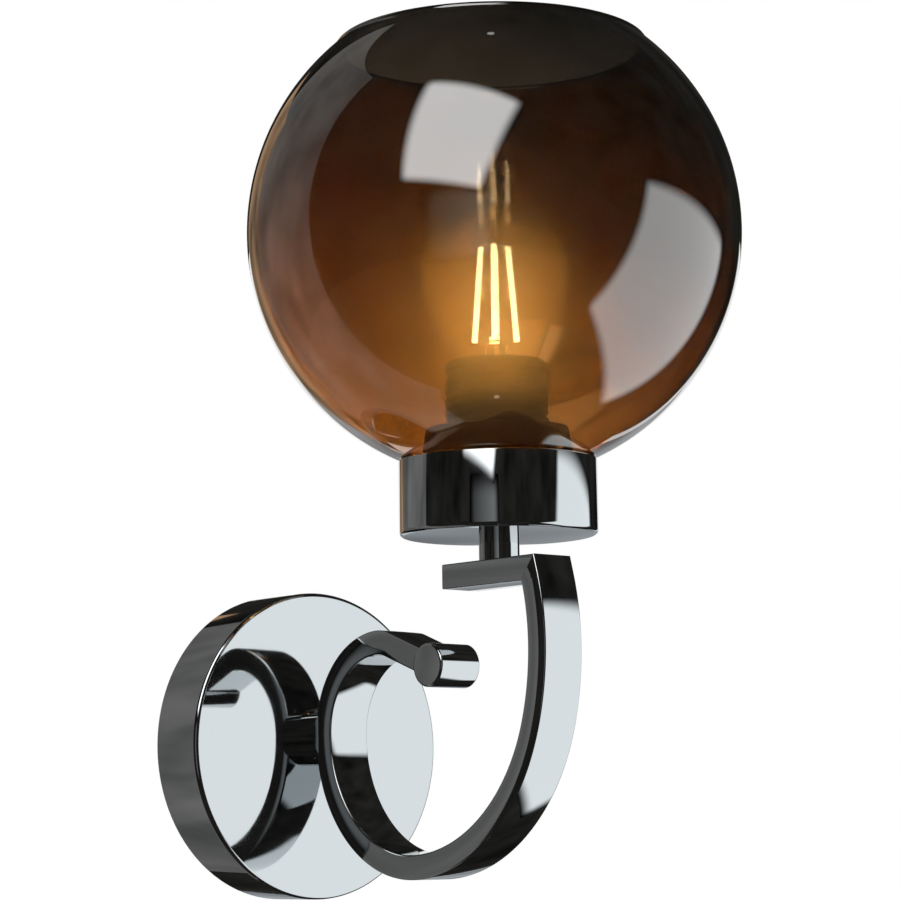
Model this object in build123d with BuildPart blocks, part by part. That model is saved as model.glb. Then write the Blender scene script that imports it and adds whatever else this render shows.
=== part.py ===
from build123d import *
from math import cos, hypot, radians, sin, sqrt
import os

os.makedirs("parts", exist_ok=True)

# Wall light with an open glass globe on a scrolled arm, in millimetres.
# The origin is the middle of the wall plate on the wall, +Z is up, and the light
# stands out from the wall towards -Y.

# ---- Driving dimensions -------------------------------------------------------

# Fits that several pieces share.
slip = 0.3            # between curved faces of pieces that come apart
fit = 0.05            # radial clearance of a shaft, screw or saddle in its seat

# Wall plate: a pressed can with a slightly domed front.
plate_radius = 65.0
plate_depth = 27.0
plate_dome = 0.8
plate_wall = 1.2
plate_edge = 1.6

# Wall bracket: a bent strip that the plate slides over.
bracket_width = 20.0
bracket_thickness = 2.0
ear_depth = 16.0
ear_gap = 0.3
slot_spacing = 84.0
slot_length = 14.0
slot_width = 5.0
cable_hole_radius = 6.0
cable_rise = 9.5
side_screw_radius = 1.95
side_screw_length = 6.0
side_screw_out = 9.5
hex_recess = 2.0

# Terminal block and the screws on the bracket.
block_width = 28.0
block_height = 16.0
block_depth = 13.0
block_drop = 20.0
block_screw_radius = 1.5
clamp_pitch = 9.0
clamp_screw_radius = 1.8
wire_hole_radius = 1.7
earth_rise = 22.0
earth_screw_radius = 2.0
head_ratio = 1.9
screw_head_height = 2.2

# Threaded hollow rods and their nuts.
nipple_radius = 5.0
nipple_bore = 3.6
nut_flats = 14.0
nut_height = 3.0
washer_radius = 11.0
washer_thickness = 1.5

# Boss between the plate and the arm.
boss_radius = 12.75
boss_length = 9.2
boss_rise = 4.0

# Scrolled arm of flat tube: the centre line leaves the boss both ways.
arm_width = 20.0
arm_depth = 10.0
tube_wall = 1.5
arm_edge = 0.7
lower_radius = 55.6
lower_angle = 93.7
outer_radius = 77.4
outer_angle = 68.7
rise_radius = 105.2
rise_angle = 32.5
rise_run = 3.2
curl_radius = 36.5
curl_angle = 86.0
bend_radius = 20.0
bend_angle = 24.6
curl_run = 27.8

# Round rod across the curl's end, a little longer than the arm is wide.
rod_radius = 8.95
rod_length = 21.0
rod_edge = 1.0

# Top bar, spacer tube and cup.
lamp_out = 143.5
bar_tail = 23.5
spacer_radius = 8.2
spacer_height = 10.0
cup_radius = 40.0
cup_height = 30.5
cup_wall = 1.2
cup_edge = 2.0

# Glass globe, open at the top.
globe_radius = 100.0
glass_wall = 3.0
mouth_radius = 63.8
mouth_lip = 1.8
fitter_radius = 21.6

# Lampholder.
skirt_radius = 20.8
skirt_bore = 17.7
skirt_height = 49.0
skirt_chamfer = 1.6
holder_base_height = 17.0
holder_base_foot = 14.0
core_wall = 3.0
core_floor = 12.0
shell_wall = 0.45
shell_height = 26.0
contact_width = 5.0
contact_thickness = 0.5
latch_width = 7.0
latch_height = 13.0
latch_drop = 6.0
latch_angle = -41.0

# Threaded ring that holds the glass down.
ring_top_radius = 28.6
ring_foot_radius = 30.6
ring_height = 11.3
ring_wall = 2.2
ring_bore = 21.1
gasket_thickness = 1.2

# Bulb, measured up from its centre contact.
bulb_radius = 29.5
bulb_height = 106.0
bulb_glass = 0.8
cap_radius = 13.1
cap_wall = 0.4
cap_height = 26.5
neck_height = 42.0
neck_radius = 17.0
shoulder_angle = 30.0
insulator_height = 5.0
insulator_radius = 10.5
contact_radius = 4.5
contact_height = 1.5
stem_radius = 4.0
stem_top = 52.0
filament_count = 4
filament_radius = 1.1
filament_length = 39.0
filament_foot_radius = 8.5
filament_tip_radius = 5.5
filament_base = 49.0
wire_radius = 0.4
seat_travel_gap = 0.3

# ---- Places worked out from the sizes -----------------------------------------

plate_face = plate_depth + plate_dome
arm_back = plate_face + boss_length
centre_out = arm_back + arm_depth / 2


def turn_point(centre, radius, angle):
    """Point on a circle, with the angle in degrees from +Y towards +Z."""
    a = radians(angle)
    return (centre[0] + radius * cos(a), centre[1] + radius * sin(a))


# Centres of the arm's arcs in (Y, Z), from the boss down, round and up.
lower_centre = (-centre_out - lower_radius, boss_rise)
lower_end = turn_point(lower_centre, lower_radius, -lower_angle)
outer_centre = turn_point(lower_end, outer_radius, 180 - lower_angle)
outer_end = turn_point(outer_centre, outer_radius, -lower_angle - outer_angle)
rise_centre = turn_point(outer_end, rise_radius, 180 - lower_angle - outer_angle)
whole_angle = lower_angle + outer_angle + rise_angle
rise_end = turn_point(rise_centre, rise_radius, -whole_angle)
rise_heading = turn_point((0, 0), 1, -whole_angle - 90)
mitre = (rise_end[0] + rise_run * rise_heading[0], rise_end[1] + rise_run * rise_heading[1])

# The other way: the curl, a tighter bend and a straight run that ends in the rod.
curl_centre = (-centre_out - curl_radius, boss_rise)
bend_centre = turn_point(curl_centre, curl_radius - bend_radius, curl_angle)
bend_end = turn_point(bend_centre, bend_radius, curl_angle + bend_angle)
rod_centre = turn_point(bend_end, curl_run, curl_angle + bend_angle + 90)

bar_top = mitre[1] + arm_depth / 2
bar_back = lamp_out - bar_tail
cup_base = bar_top + spacer_height
cup_floor = cup_base + cup_wall
cup_rim = cup_base + cup_height

# The globe rests on the inner edge of the cup's rim.
cup_bore = cup_radius - cup_wall
globe_middle = cup_rim + sqrt((globe_radius + slip) ** 2 - cup_bore ** 2)
globe_bore = globe_radius - glass_wall


def glass_inside(radius):
    """Height of the glass's inner face, in the lower half, at a radius."""
    return globe_middle - sqrt(globe_bore ** 2 - radius ** 2)


gasket_seat = glass_inside(ring_foot_radius) + slip
ring_seat = gasket_seat + gasket_thickness
holder_foot = cup_floor + nut_height + slip
skirt_foot = holder_foot + holder_base_height
skirt_top = skirt_foot + skirt_height
core_radius = skirt_bore - slip
core_bore = core_radius - core_wall
core_foot = skirt_foot - core_floor / 2
shell_foot = core_foot + core_floor
bulb_foot = shell_foot + contact_thickness * 4 + seat_travel_gap
bulb_middle = bulb_foot + bulb_height - bulb_radius

lamp_plane = Plane.XZ.offset(lamp_out)
lamp_axis = Axis((0, -lamp_out, 0), (0, 0, 1))
plate_axis = Axis((0, 0, 0), (0, 1, 0))
boss_axis = Axis((0, 0, boss_rise), (0, 1, 0))


def finish(piece, name):
    """Label a finished piece and write it out."""
    piece.part.label = name
    export_step(piece.part, "parts/" + name + ".step")


def ring_profile(inner, outer, low, high):
    """Rectangle between two radii and two heights, for a turned piece."""
    with Locations(((inner + outer) / 2, (low + high) / 2)):
        Rectangle(outer - inner, high - low)


def flat_tube(width, depth):
    """Both runs of the arm, from the boss to their ends, as solid bar of one section."""
    with BuildLine(Plane.YZ) as long_route:
        lower = JernArc((-centre_out, boss_rise), (0, -1), lower_radius, -lower_angle)
        outer = JernArc(lower @ 1, lower % 1, outer_radius, -outer_angle)
        rise = JernArc(outer @ 1, outer % 1, rise_radius, -rise_angle)
        Line(rise @ 1, (rise @ 1) + (rise % 1) * (rise_run + arm_depth))
    with BuildLine(Plane.YZ) as curl_route:
        curl = JernArc((-centre_out, boss_rise), (0, 1), curl_radius, curl_angle)
        bend = JernArc(curl @ 1, curl % 1, bend_radius, bend_angle)
        Line(bend @ 1, (bend @ 1) + (bend % 1) * curl_run)
    with BuildPart() as run:
        for route in (long_route, curl_route):
            with BuildSketch(Plane((0, -centre_out, boss_rise), x_dir=(1, 0, 0), z_dir=(0, 0, -1))):
                RectangleRounded(width, depth, arm_edge)
            sweep(path=route.wire())
    return run.part


# ---- Wall plate ---------------------------------------------------------------

# The can is turned about the Y axis. Its dome is one shallow arc.
def plate_can(inset):
    """Solid can of the plate's outline, with its front and side moved in by inset."""
    with BuildPart() as can:
        with BuildSketch(Plane.XY):
            with BuildLine():
                front = TangentArc(
                    (0, inset - plate_face), (plate_radius - inset, inset - plate_depth), tangent=(1, 0)
                )
                Polyline(front @ 1, (plate_radius - inset, 0), (0, 0), front @ 0)
            face = make_face()
            corner = face.vertices().sort_by_distance((plate_radius, -plate_depth, 0)).first
            fillet(corner, plate_edge - inset)
        revolve(axis=plate_axis)
    return can.part


with BuildPart() as wall_plate:
    add(plate_can(0))
    add(plate_can(plate_wall), mode=Mode.SUBTRACT)
    with Locations(Plane((0, -plate_face, boss_rise), z_dir=(0, -1, 0))):
        Hole(nipple_radius + slip, depth=2 * plate_wall + plate_dome)
    with Locations(
        Plane((0, -side_screw_out, plate_radius), z_dir=(0, 0, 1)),
        Plane((0, -side_screw_out, -plate_radius), z_dir=(0, 0, -1)),
    ):
        Hole(side_screw_radius + slip, depth=2 * plate_wall)
finish(wall_plate, "wall_plate")

# ---- Wall bracket -------------------------------------------------------------

# The ears' corners just clear the inside of the plate.
plate_bore = plate_radius - plate_wall
ear_out = sqrt((plate_bore - ear_gap) ** 2 - (bracket_width / 2) ** 2)

with BuildPart() as wall_bracket:
    with BuildSketch(Plane.YZ):
        with BuildLine():
            Polyline(
                (0, -ear_out),
                (-ear_depth, -ear_out),
                (-ear_depth, -ear_out + bracket_thickness),
                (-bracket_thickness, -ear_out + bracket_thickness),
                (-bracket_thickness, ear_out - bracket_thickness),
                (-ear_depth, ear_out - bracket_thickness),
                (-ear_depth, ear_out),
                (0, ear_out),
                close=True,
            )
        make_face()
    extrude(amount=bracket_width / 2, both=True)
    bends = wall_bracket.edges().filter_by(Axis.X)
    fillet(bends.filter_by_position(Axis.Y, 0, 0), bracket_thickness * 1.25)
    fillet(
        wall_bracket.edges().filter_by(Axis.X).filter_by_position(
            Axis.Y, -bracket_thickness, -bracket_thickness
        ),
        bracket_thickness / 4,
    )
    with BuildSketch(Plane.XZ):
        with Locations((0, slot_spacing / 2), (0, -slot_spacing / 2)):
            SlotOverall(slot_length, slot_width, rotation=90)
        with Locations((0, cable_rise)):
            Circle(cable_hole_radius)
        with Locations((0, earth_rise)):
            Circle(earth_screw_radius + fit)
        with Locations((0, -block_drop)):
            Circle(block_screw_radius + fit)
    extrude(amount=bracket_thickness, mode=Mode.SUBTRACT)
    with Locations(
        Plane((0, -side_screw_out, ear_out), z_dir=(0, 0, 1)),
        Plane((0, -side_screw_out, -ear_out), z_dir=(0, 0, -1)),
    ):
        Hole(side_screw_radius + fit, depth=bracket_thickness)
finish(wall_bracket, "wall_bracket")

# Two socket screws pinch the plate to the ears, one at the top and one below.
with BuildPart() as side_screws:
    for side in (1, -1):
        seat = Plane((0, -side_screw_out, side * plate_radius), z_dir=(0, 0, side))
        with BuildSketch(seat):
            Circle(side_screw_radius)
        extrude(amount=-side_screw_length)
        with BuildSketch(seat):
            RegularPolygon(hex_recess / 2, 6, major_radius=False)
        extrude(amount=-hex_recess, mode=Mode.SUBTRACT)
finish(side_screws, "side_screws")

# ---- Terminal block and bracket screws ----------------------------------------

block_face = bracket_thickness + block_depth
clamp_places = [
    (column * clamp_pitch, -block_drop + row * block_height / 4)
    for column in (-1, 0, 1)
    for row in (-1, 1)
]
side_clamps = [place for place in clamp_places if place[0] != 0]

with BuildPart() as terminal_block:
    with BuildSketch(Plane.XZ.offset(bracket_thickness)):
        with Locations((0, -block_drop)):
            RectangleRounded(block_width, block_height, block_height / 8)
    extrude(amount=block_depth)
    with BuildSketch(Plane.XZ.offset(block_face)):
        with Locations(*side_clamps):
            Circle(clamp_screw_radius + fit)
        with Locations((0, -block_drop)):
            Circle(block_screw_radius * head_ratio + slip)
    extrude(amount=-block_depth / 2, mode=Mode.SUBTRACT)
    with BuildSketch(Plane.XZ.offset(block_face)):
        with Locations((0, -block_drop)):
            Circle(block_screw_radius + fit)
    extrude(amount=-block_depth, mode=Mode.SUBTRACT)
    with BuildSketch(Plane.XY.offset(-block_drop - block_height / 2)):
        with Locations(
            (-clamp_pitch, -bracket_thickness - block_depth / 3),
            (clamp_pitch, -bracket_thickness - block_depth / 3),
        ):
            Circle(wire_hole_radius)
    extrude(amount=block_height, mode=Mode.SUBTRACT)
finish(terminal_block, "terminal_block")

with BuildPart() as clamp_screws:
    with BuildSketch(Plane.XZ.offset(block_face - block_depth / 2)):
        with Locations(*side_clamps):
            Circle(clamp_screw_radius)
    extrude(amount=block_depth / 3)
    with BuildSketch(Plane.XZ.offset(block_face - block_depth / 6)):
        with Locations(*side_clamps):
            Rectangle(2 * clamp_screw_radius, clamp_screw_radius / 3)
    extrude(amount=-clamp_screw_radius / 2, mode=Mode.SUBTRACT)
finish(clamp_screws, "clamp_screws")


def pan_screw(radius, rise, seat, length):
    """Slotted pan-head screw along Y, its head standing out from the seat."""
    with BuildPart() as screw:
        with BuildSketch(Plane.XZ.offset(seat)):
            with Locations((0, rise)):
                Circle(radius * head_ratio)
        extrude(amount=screw_head_height)
        with BuildSketch(Plane.XZ.offset(seat)):
            with Locations((0, rise)):
                Circle(radius)
        extrude(amount=-length)
        with BuildSketch(Plane.XZ.offset(seat + screw_head_height)):
            with Locations((0, rise)):
                Rectangle(radius * head_ratio * 2, radius / 2)
        extrude(amount=-screw_head_height / 2, mode=Mode.SUBTRACT)
    return screw


block_screw = pan_screw(
    block_screw_radius, -block_drop, bracket_thickness + block_depth / 2, block_depth / 2 + bracket_thickness
)
finish(block_screw, "block_screw")

earth_screw = pan_screw(earth_screw_radius, earth_rise, bracket_thickness, bracket_thickness)
finish(earth_screw, "earth_screw")

# ---- Boss and the hollow rod that pulls it to the plate -------------------------

dome_drop = plate_dome * ((boss_rise + washer_radius) / plate_radius) ** 2
plate_inside = plate_face - plate_wall - dome_drop
clamp_back = plate_inside - washer_thickness - nut_height

with BuildPart() as boss:
    with BuildSketch(Plane.XZ.offset(plate_face)):
        with Locations((0, boss_rise)):
            Circle(boss_radius)
            Circle(nipple_radius + fit, mode=Mode.SUBTRACT)
    extrude(amount=boss_length + arm_depth)
    add(flat_tube(4 * boss_radius, arm_depth + 2 * fit), mode=Mode.SUBTRACT)
    far_pieces = boss.solids().sort_by(Axis.Y)[:-1]
    for scrap in far_pieces:
        add(scrap, mode=Mode.SUBTRACT)
finish(boss, "boss")

with BuildPart() as plate_nipple:
    with BuildSketch(Plane.XZ.offset(clamp_back - tube_wall)):
        with Locations((0, boss_rise)):
            Circle(nipple_radius)
            Circle(nipple_bore, mode=Mode.SUBTRACT)
    extrude(amount=arm_back + 2 * tube_wall - clamp_back + tube_wall)
finish(plate_nipple, "plate_nipple")

with BuildPart() as plate_washer:
    with BuildSketch(Plane.XZ.offset(plate_inside - washer_thickness)):
        with Locations((0, boss_rise)):
            Circle(washer_radius)
            Circle(nipple_radius + slip, mode=Mode.SUBTRACT)
    extrude(amount=washer_thickness)
finish(plate_washer, "plate_washer")


def hex_nut(seat):
    """Nut of the hollow rods' thread, grown from its seat along the plane's normal."""
    with BuildPart() as nut:
        with BuildSketch(seat):
            RegularPolygon(nut_flats / 2, 6, major_radius=False)
            Circle(nipple_radius + fit, mode=Mode.SUBTRACT)
        extrude(amount=nut_height)
    return nut


plate_nut = hex_nut(Plane((0, -clamp_back, boss_rise), z_dir=(0, -1, 0)))
finish(plate_nut, "plate_nut")

# ---- Scrolled arm ---------------------------------------------------------------

# The mitre plane halves the corner between the rising arm and the level bar.
mitre_plane = Plane(
    (0, mitre[0], mitre[1]), x_dir=(1, 0, 0), z_dir=(0, rise_heading[0] + 1, rise_heading[1])
)


def beyond_mitre(side):
    """Block on one side of the mitre, to be cut away: 1 past the arm, -1 past the bar."""
    with BuildPart() as block:
        with BuildSketch(mitre_plane):
            Rectangle(2 * arm_width, 3 * arm_depth)
        extrude(amount=side * 3 * arm_depth)
    return block.part


with BuildPart() as scroll_arm:
    add(flat_tube(arm_width, arm_depth))
    add(flat_tube(arm_width - 2 * tube_wall, arm_depth - 2 * tube_wall), mode=Mode.SUBTRACT)
    add(beyond_mitre(1), mode=Mode.SUBTRACT)
    # The curl's end is saddled to the rod.
    with BuildSketch(Plane.YZ):
        with Locations(rod_centre):
            Circle(rod_radius + fit)
    extrude(amount=arm_width, both=True, mode=Mode.SUBTRACT)
    with Locations(Plane((0, -arm_back, boss_rise), z_dir=(0, 1, 0))):
        Hole(nipple_radius + fit, depth=2 * tube_wall)
finish(scroll_arm, "scroll_arm")

with BuildPart() as scroll_rod:
    with BuildSketch(Plane.YZ):
        with Locations(rod_centre):
            Circle(rod_radius)
    extrude(amount=rod_length / 2, both=True)
    fillet(scroll_rod.edges().filter_by(GeomType.CIRCLE), rod_edge)
finish(scroll_rod, "scroll_rod")

# ---- Top bar, spacer tube and cup -----------------------------------------------

with BuildPart() as top_bar:
    bar_reach = -mitre[0] + arm_depth
    with BuildSketch(Plane.XZ.offset(bar_back)):
        with Locations((0, mitre[1])):
            RectangleRounded(arm_width, arm_depth, arm_edge)
    extrude(amount=bar_reach - bar_back)
    with BuildSketch(Plane.XZ.offset(bar_back + tube_wall)):
        with Locations((0, mitre[1])):
            RectangleRounded(arm_width - 2 * tube_wall, arm_depth - 2 * tube_wall, arm_edge)
    extrude(amount=bar_reach - bar_back, mode=Mode.SUBTRACT)
    add(beyond_mitre(-1), mode=Mode.SUBTRACT)
    with Locations((0, -lamp_out, bar_top)):
        Hole(nipple_radius + fit, depth=2 * tube_wall)
finish(top_bar, "top_bar")

bar_ceiling = bar_top - tube_wall
bar_nut = hex_nut(Plane((0, -lamp_out, bar_ceiling), z_dir=(0, 0, -1)))
finish(bar_nut, "bar_nut")

with BuildPart() as lamp_nipple:
    with BuildSketch(lamp_plane):
        ring_profile(
            nipple_bore, nipple_radius, bar_ceiling - nut_height - tube_wall, holder_foot + nut_height * 3
        )
    revolve(axis=lamp_axis)
finish(lamp_nipple, "lamp_nipple")

with BuildPart() as spacer_tube:
    with BuildSketch(lamp_plane):
        ring_profile(nipple_radius + fit, spacer_radius, bar_top, cup_base)
    revolve(axis=lamp_axis)
finish(spacer_tube, "spacer_tube")

with BuildPart() as cup:
    with BuildSketch(lamp_plane):
        with BuildLine():
            Polyline(
                (nipple_radius + slip, cup_base),
                (cup_radius, cup_base),
                (cup_radius, cup_rim),
                (cup_radius - cup_wall, cup_rim),
                (cup_radius - cup_wall, cup_floor),
                (nipple_radius + slip, cup_floor),
                close=True,
            )
        cup_face = make_face()
        outer_corner = cup_face.vertices().sort_by_distance((cup_radius, -lamp_out, cup_base))
        fillet(outer_corner.first, cup_edge)
    revolve(axis=lamp_axis)
finish(cup, "cup")

cup_nut = hex_nut(Plane((0, -lamp_out, cup_floor), z_dir=(0, 0, 1)))
finish(cup_nut, "cup_nut")

# ---- Lampholder -----------------------------------------------------------------

with BuildPart() as holder_base:
    with BuildSketch(lamp_plane):
        with BuildLine():
            Polyline(
                (nipple_radius + fit, holder_foot),
                (holder_base_foot, holder_foot),
                (skirt_radius, holder_foot + skirt_radius - holder_base_foot),
                (skirt_radius, skirt_foot),
                (core_radius + fit, skirt_foot),
                (core_radius + fit, core_foot),
                (nipple_radius + fit, core_foot),
                close=True,
            )
        make_face()
    revolve(axis=lamp_axis)
finish(holder_base, "holder_base")

latch_top = skirt_top - latch_drop
latch_middle = latch_top - latch_height / 2
latch_seat = Plane(
    (0, -lamp_out, latch_middle),
    x_dir=(-sin(radians(latch_angle)), cos(radians(latch_angle)), 0),
    z_dir=(cos(radians(latch_angle)), sin(radians(latch_angle)), 0),
)

with BuildPart() as holder_skirt:
    with BuildSketch(lamp_plane):
        ring_profile(skirt_bore, skirt_radius, skirt_foot, skirt_top)
    revolve(axis=lamp_axis)
    rims = holder_skirt.edges().filter_by(GeomType.CIRCLE).group_by(Axis.Z)[-1]
    chamfer(rims.sort_by(SortBy.RADIUS)[-1], skirt_chamfer)
    with BuildSketch(latch_seat):
        Rectangle(latch_width + 2 * fit, latch_height + 2 * fit)
    extrude(amount=skirt_radius, mode=Mode.SUBTRACT)
finish(holder_skirt, "holder_skirt")

# The latch keeps the skirt from unscrewing off the base.
with BuildPart() as holder_latch:
    with BuildSketch(latch_seat):
        Rectangle(latch_width, latch_height)
    extrude(amount=skirt_radius)
    with BuildSketch(Plane.XY.offset(skirt_foot)):
        with Locations((0, -lamp_out)):
            Circle(skirt_radius + latch_width)
            Circle(skirt_radius, mode=Mode.SUBTRACT)
            Circle(skirt_bore + fit)
    extrude(amount=skirt_height, mode=Mode.SUBTRACT)
finish(holder_latch, "holder_latch")

with BuildPart() as holder_core:
    with BuildSketch(lamp_plane):
        ring_profile(0, core_radius, core_foot, shell_foot)
        ring_profile(core_bore, core_radius, shell_foot, shell_foot + shell_height)
    revolve(axis=lamp_axis)
finish(holder_core, "holder_core")

with BuildPart() as screw_shell:
    with BuildSketch(lamp_plane):
        ring_profile(
            core_bore - fit - shell_wall, core_bore - fit, shell_foot, shell_foot + shell_height
        )
    revolve(axis=lamp_axis)
finish(screw_shell, "screw_shell")

# Bent strip: a foot on the core and a raised tongue under the bulb's contact.
contact_rise = bulb_foot - seat_travel_gap - shell_foot
with BuildPart() as holder_contact:
    with BuildSketch(lamp_plane):
        with BuildLine():
            Polyline(
                (-2 * contact_width / 2, shell_foot),
                (-contact_width / 2, shell_foot),
                (0, shell_foot + contact_rise - contact_thickness),
                (contact_width / 2, shell_foot + contact_rise - contact_thickness),
                (contact_width / 2, shell_foot + contact_rise),
                (-contact_thickness, shell_foot + contact_rise),
                (-contact_width / 2 - contact_thickness, shell_foot + contact_thickness),
                (-2 * contact_width / 2, shell_foot + contact_thickness),
                close=True,
            )
        make_face()
    extrude(amount=contact_width / 2, both=True)
finish(holder_contact, "holder_contact")

# ---- Ring and gasket ------------------------------------------------------------

with BuildPart() as shade_ring:
    with BuildSketch(lamp_plane):
        with BuildLine():
            Polyline(
                (ring_bore, ring_seat),
                (ring_bore, ring_seat + ring_height),
                (ring_top_radius, ring_seat + ring_height),
                (ring_foot_radius, ring_seat),
                (ring_foot_radius - ring_wall, ring_seat),
                (ring_top_radius - ring_wall, ring_seat + ring_height - ring_wall),
                (ring_bore + ring_wall, ring_seat + ring_height - ring_wall),
                (ring_bore + ring_wall, ring_seat),
                close=True,
            )
        make_face()
    revolve(axis=lamp_axis)
    ring_edges = shade_ring.edges().filter_by(GeomType.CIRCLE).group_by(Axis.Z)[-1]
    fillet(ring_edges.sort_by(SortBy.RADIUS)[-1], ring_wall / 3)
finish(shade_ring, "shade_ring")

# The gasket follows the glass, so it is cut to the globe's inner sphere.
with BuildPart() as ring_gasket:
    with BuildSketch(lamp_plane):
        with BuildLine():
            sphere_cut = RadiusArc(
                (ring_bore, glass_inside(ring_bore) + slip), (ring_foot_radius, gasket_seat), -globe_bore
            )
            Polyline(
                sphere_cut @ 1,
                (ring_foot_radius, ring_seat),
                (ring_bore, ring_seat),
                sphere_cut @ 0,
            )
        make_face()
    revolve(axis=lamp_axis)
finish(ring_gasket, "ring_gasket")

# ---- Glass globe ----------------------------------------------------------------


def sphere_height(radius, at):
    """Height above the globe's middle of a sphere of one radius, at a distance out."""
    return sqrt(radius ** 2 - at ** 2)


mouth_bore = mouth_radius - glass_wall
mouth_top = globe_middle + sphere_height(globe_radius, mouth_radius) + mouth_lip

with BuildPart() as glass_globe:
    with BuildSketch(lamp_plane):
        with BuildLine():
            low_out = (fitter_radius, globe_middle - sphere_height(globe_radius, fitter_radius))
            high_out = (mouth_radius, globe_middle + sphere_height(globe_radius, mouth_radius))
            low_in = (fitter_radius, globe_middle - sphere_height(globe_bore, fitter_radius))
            high_in = (mouth_bore, globe_middle + sphere_height(globe_bore, mouth_bore))
            ThreePointArc(low_out, (globe_radius, globe_middle), high_out)
            Polyline(high_out, (mouth_radius, mouth_top), (mouth_bore, mouth_top), high_in)
            ThreePointArc(high_in, (globe_bore, globe_middle), low_in)
            Line(low_in, low_out)
        make_face()
    revolve(axis=lamp_axis)
    lip_edges = glass_globe.edges().filter_by(GeomType.CIRCLE).group_by(Axis.Z)[-1]
    fillet(lip_edges, glass_wall / 3)
finish(glass_globe, "glass_globe")

# ---- Bulb -----------------------------------------------------------------------

cap_top = bulb_foot + cap_height
neck_top = bulb_foot + neck_height


def envelope_body(inset):
    """Solid of the bulb's glass outline, from the cap to the crown, moved in by inset."""
    side = turn_point((0, bulb_middle), bulb_radius - inset, -shoulder_angle)
    crown = (0, bulb_middle + bulb_radius - inset)
    foot_radius = cap_radius - cap_wall - fit - inset
    foot_height = cap_top - cap_height / 4
    with BuildPart() as body:
        with BuildSketch(lamp_plane):
            with BuildLine():
                ThreePointArc(side, (bulb_radius - inset, bulb_middle), crown)
                Spline(
                    (foot_radius, cap_top),
                    (neck_radius - inset, neck_top),
                    side,
                    tangents=((0, 1), (sin(radians(shoulder_angle)), cos(radians(shoulder_angle)))),
                )
                Polyline(crown, (0, foot_height), (foot_radius, foot_height), (foot_radius, cap_top))
            make_face()
        revolve(axis=lamp_axis)
    return body.part


with BuildPart() as bulb_envelope:
    add(envelope_body(0))
    add(envelope_body(bulb_glass), mode=Mode.SUBTRACT)
finish(bulb_envelope, "bulb_envelope")

with BuildPart() as bulb_cap:
    with BuildSketch(lamp_plane):
        ring_profile(cap_radius - cap_wall, cap_radius, bulb_foot + insulator_height, cap_top)
        ring_profile(
            insulator_radius - cap_wall,
            cap_radius,
            bulb_foot + insulator_height - cap_wall,
            bulb_foot + insulator_height,
        )
    revolve(axis=lamp_axis)
finish(bulb_cap, "bulb_cap")

with BuildPart() as bulb_insulator:
    with BuildSketch(lamp_plane):
        with BuildLine():
            Polyline(
                (0, bulb_foot + contact_height),
                (contact_radius, bulb_foot + contact_height),
                (insulator_radius - cap_wall, bulb_foot + insulator_height - cap_wall),
                (insulator_radius - cap_wall, bulb_foot + insulator_height),
                (0, bulb_foot + insulator_height),
                close=True,
            )
        make_face()
    revolve(axis=lamp_axis)
finish(bulb_insulator, "bulb_insulator")

with BuildPart() as bulb_contact:
    with BuildSketch(lamp_plane):
        ring_profile(0, contact_radius, bulb_foot, bulb_foot + contact_height)
    revolve(axis=lamp_axis)
    fillet(bulb_contact.edges().filter_by(GeomType.CIRCLE).sort_by(Axis.Z)[0], contact_height / 2)
finish(bulb_contact, "bulb_contact")

stem_foot = bulb_foot + insulator_height
stem_tip = bulb_foot + stem_top

with BuildPart() as bulb_stem:
    with BuildSketch(lamp_plane):
        with BuildLine():
            Polyline(
                (0, stem_foot),
                (stem_radius * 2, stem_foot),
                (stem_radius * 2, cap_top),
                (stem_radius, neck_top),
                (stem_radius, stem_tip),
                (0, stem_tip),
                close=True,
            )
        make_face()
    revolve(axis=lamp_axis)
    fillet(bulb_stem.edges().filter_by(GeomType.CIRCLE).sort_by(Axis.Z)[-1], stem_radius / 2)
finish(bulb_stem, "bulb_stem")

filament_foot = bulb_foot + filament_base
filament_lean = filament_foot_radius - filament_tip_radius
filament_rise = sqrt(filament_length ** 2 - filament_lean ** 2)


def around_lamp(place, turn):
    """Point at (radius, height) turned about the lamp's axis."""
    return Vector(
        place[0] * cos(radians(turn)), -lamp_out + place[0] * sin(radians(turn)), place[1]
    )


filament_turns = [360 / filament_count * (index + 0.5) for index in range(filament_count)]

with BuildPart() as bulb_filaments:
    for turn in filament_turns:
        foot = around_lamp((filament_foot_radius, filament_foot), turn)
        tip = around_lamp((filament_tip_radius, filament_foot + filament_rise), turn)
        with BuildSketch(Plane(origin=foot, z_dir=tip - foot)):
            Circle(filament_radius)
        extrude(amount=filament_length)
finish(bulb_filaments, "bulb_filaments")

# Spokes hold the filaments' feet on the stem. A post carries a cross at their tips.
spoke_height = filament_foot + 2 * wire_radius
post_top = filament_foot + filament_rise + wire_radius + slip
with BuildPart() as bulb_wires:
    for turn in filament_turns:
        root = around_lamp((stem_radius, spoke_height), turn)
        reach = filament_foot_radius - filament_radius - stem_radius - slip / 2
        with BuildSketch(Plane(origin=root, z_dir=(cos(radians(turn)), sin(radians(turn)), 0))):
            Circle(wire_radius)
        extrude(amount=reach)
    with BuildSketch(Plane((0, -lamp_out, stem_tip))):
        Circle(wire_radius)
    extrude(amount=post_top - stem_tip)
    for turn in filament_turns:
        with BuildSketch(
            Plane((0, -lamp_out, post_top), z_dir=(cos(radians(turn)), sin(radians(turn)), 0))
        ):
            Circle(wire_radius)
        extrude(amount=filament_tip_radius)
finish(bulb_wires, "bulb_wires")
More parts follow.
